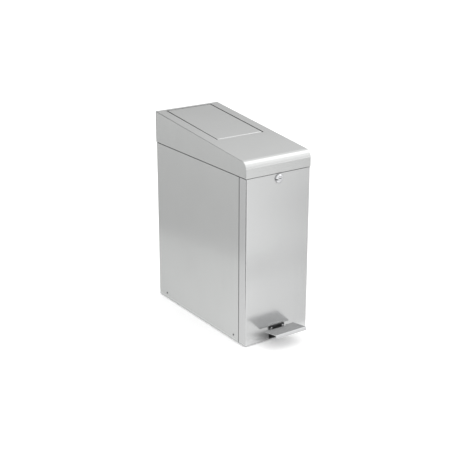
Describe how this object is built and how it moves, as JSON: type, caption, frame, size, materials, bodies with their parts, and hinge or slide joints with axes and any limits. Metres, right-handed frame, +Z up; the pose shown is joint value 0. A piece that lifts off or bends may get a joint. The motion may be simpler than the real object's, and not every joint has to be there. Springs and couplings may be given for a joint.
{
  "type": "sanitary container",
  "caption": "Narrow pedal-operated sanitary bin: steel casing, sloping hood with flap lid, cam lock and lift-out inner container.",
  "frame": {"origin": "on the floor under the middle of the whole outline, pedal and rear hinges counted in", "axes": "+Z up, -Y towards the front with the pedal and the lock, -X towards the left side seen in the picture"},
  "size_m": [0.2016, 0.4958, 0.5378],
  "materials": {
    "casing_steel": "satin, brushed upright",
    "front_steel": "satin, brushed upright",
    "hood_steel": "satin, brushed across",
    "pedal_steel": "satin, brushed across",
    "inner_steel": "mill finish",
    "hinge_steel": "satin",
    "fastener_steel": "bright",
    "galvanised_steel": "galvanised",
    "lock_chrome": "polished chrome",
    "black_rubber": "matt",
    "white_nylon": "matt"
  },
  "bodies": {
    "casing": {"casing_wrap": "casing_steel", "front_panel": "front_steel", "base_plate": "inner_steel", "side_rivets": "fastener_steel", "rubber_feet": "black_rubber", "container_platform": "inner_steel", "pivot_bracket": "inner_steel", "bracket_rivets": "fastener_steel", "pedal_axle": "fastener_steel", "axle_ring": "fastener_steel", "rod_guides": "inner_steel", "guide_bushes": "white_nylon", "guide_rivets": "fastener_steel", "buffer_strip": "black_rubber", "strip_screws": "fastener_steel", "lock_housing": "lock_chrome", "lock_nut": "fastener_steel", "hood_buffers": "black_rubber", "casing_hinge_leaves": "hinge_steel", "casing_hinge_rivets": "fastener_steel", "hinge_pins": "fastener_steel"},
    "pedal": {"pedal_plate": "pedal_steel", "pedal_lever": "inner_steel", "lever_bushes": "white_nylon", "neck_screws": "fastener_steel", "neck_nuts": "fastener_steel"},
    "rod": {"push_rod": "fastener_steel", "rod_foot": "white_nylon", "rod_cap": "white_nylon"},
    "hood": {"hood_shell": "hood_steel", "hood_cheek_right": "casing_steel", "hood_cheek_left": "casing_steel", "lid_opening_frame": "inner_steel", "lid_buffers": "black_rubber", "lid_pin": "fastener_steel", "lid_pin_rings": "fastener_steel", "hood_hinge_leaves": "hinge_steel", "hood_hinge_rivets": "fastener_steel", "lock_keeper": "inner_steel"},
    "lid": {"lid_panel": "hood_steel", "lid_stiffener": "inner_steel", "lid_bushes": "white_nylon", "lid_crank": "inner_steel", "crank_pin": "fastener_steel"},
    "lock": {"lock_core": "lock_chrome", "lock_cam": "fastener_steel", "cam_screw": "fastener_steel"},
    "container": {"waste_container": "galvanised_steel", "bail_ears": "inner_steel", "ear_rivets": "fastener_steel"},
    "bail": {"bail_handle": "fastener_steel"}
  },
  "joints": [
    {"name": "hood_hinge", "type": "hinge", "parent": "casing", "child": "hood", "pos_m": [0, 0.24515, 0.451], "axis": [-1, 0, 0], "range_deg": [0, 95]},
    {"name": "lid_hinge", "type": "hinge", "parent": "hood", "child": "lid", "pos_m": [0, 0.22383, 0.53003], "axis": [-1, 0, 0], "range_deg": [0, 70]},
    {"name": "pedal_pivot", "type": "hinge", "parent": "casing", "child": "pedal", "pos_m": [0, 0.03009, 0.0251], "axis": [1, 0, 0], "range_deg": [0, 5]},
    {"name": "rod_slide", "type": "slide", "parent": "casing", "child": "rod", "axis": [0, 0, 1], "range_m": [0, 0.01582]},
    {"name": "lock_turn", "type": "hinge", "parent": "casing", "child": "lock", "pos_m": [0, -0.18191, 0.438], "axis": [0, 1, 0], "range_deg": [0, 90]},
    {"name": "container_lift", "type": "slide", "parent": "casing", "child": "container", "axis": [0, 0, 1], "range_m": [0, 0.01]},
    {"name": "bail_swing", "type": "hinge", "parent": "container", "child": "bail", "pos_m": [0, -0.13591, 0.415], "axis": [0, 1, 0], "range_deg": [0, 90]}
  ],
  "couplings": [
    {"joint": "pedal_pivot", "follows": "lid_hinge", "ratio": 0.071429},
    {"joint": "rod_slide", "follows": "lid_hinge", "m_per_rad": 0.01295}
  ]
}
